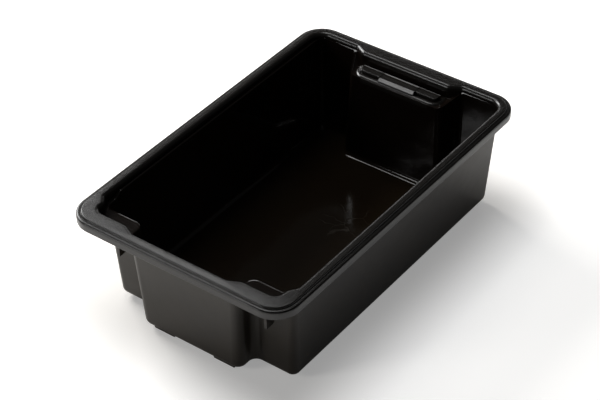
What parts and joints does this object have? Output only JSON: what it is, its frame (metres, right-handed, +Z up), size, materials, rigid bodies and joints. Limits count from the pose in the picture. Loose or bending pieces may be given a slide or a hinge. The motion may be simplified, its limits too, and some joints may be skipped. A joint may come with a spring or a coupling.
{
  "type": "mortar mixing tub",
  "caption": "Black plastic builder's mixing tub with a bulged end, a set-back grip end and a rolled rim; stacks when turned, nests when not.",
  "frame": {"origin": "on the ground under the middle of the rim", "axes": "+X along the length towards the end with the hand grip, +Y to the left, +Z up"},
  "size_m": [0.645, 0.413, 0.198],
  "materials": {
    "rim_plastic": "fine moulded grain, black",
    "body_plastic": "smooth as moulded, black"
  },
  "bodies": {
    "root": {"bulge_end_wall": "body_plastic", "bulge_side_wall_left": "body_plastic", "bulge_side_wall_right": "body_plastic", "collar_bulge": "body_plastic", "collar_pocket_left": "body_plastic", "collar_pocket_right": "body_plastic", "collar_shelf_left": "body_plastic", "collar_shelf_right": "body_plastic", "collar_side_left": "body_plastic", "collar_side_right": "body_plastic", "corner_column_left": "body_plastic", "corner_column_right": "body_plastic", "corner_shelf_left": "body_plastic", "corner_shelf_right": "body_plastic", "floor_bulge": "body_plastic", "floor_panel": "body_plastic", "floor_pocket_left": "body_plastic", "floor_pocket_right": "body_plastic", "foot_bulge_left": "body_plastic", "foot_bulge_right": "body_plastic", "foot_grip_left": "body_plastic", "foot_grip_right": "body_plastic", "grip_back_wall": "body_plastic", "grip_wall": "body_plastic", "ledge_block_left": "rim_plastic", "ledge_block_right": "rim_plastic", "ledge_lip": "rim_plastic", "ledge_middle": "rim_plastic", "pocket_end_wall_left": "body_plastic", "pocket_end_wall_right": "body_plastic", "pocket_side_wall_left": "body_plastic", "pocket_side_wall_right": "body_plastic", "rim_flange": "rim_plastic", "rim_shoulder": "rim_plastic", "rim_skirt": "rim_plastic", "shelf_rib_left": "body_plastic", "shelf_rib_right": "body_plastic", "side_wall_left": "body_plastic", "side_wall_right": "body_plastic", "step_bulge": "body_plastic", "step_pocket_left": "body_plastic", "step_pocket_right": "body_plastic", "step_side_left": "body_plastic", "step_side_right": "body_plastic"}
  },
  "joints": []
}
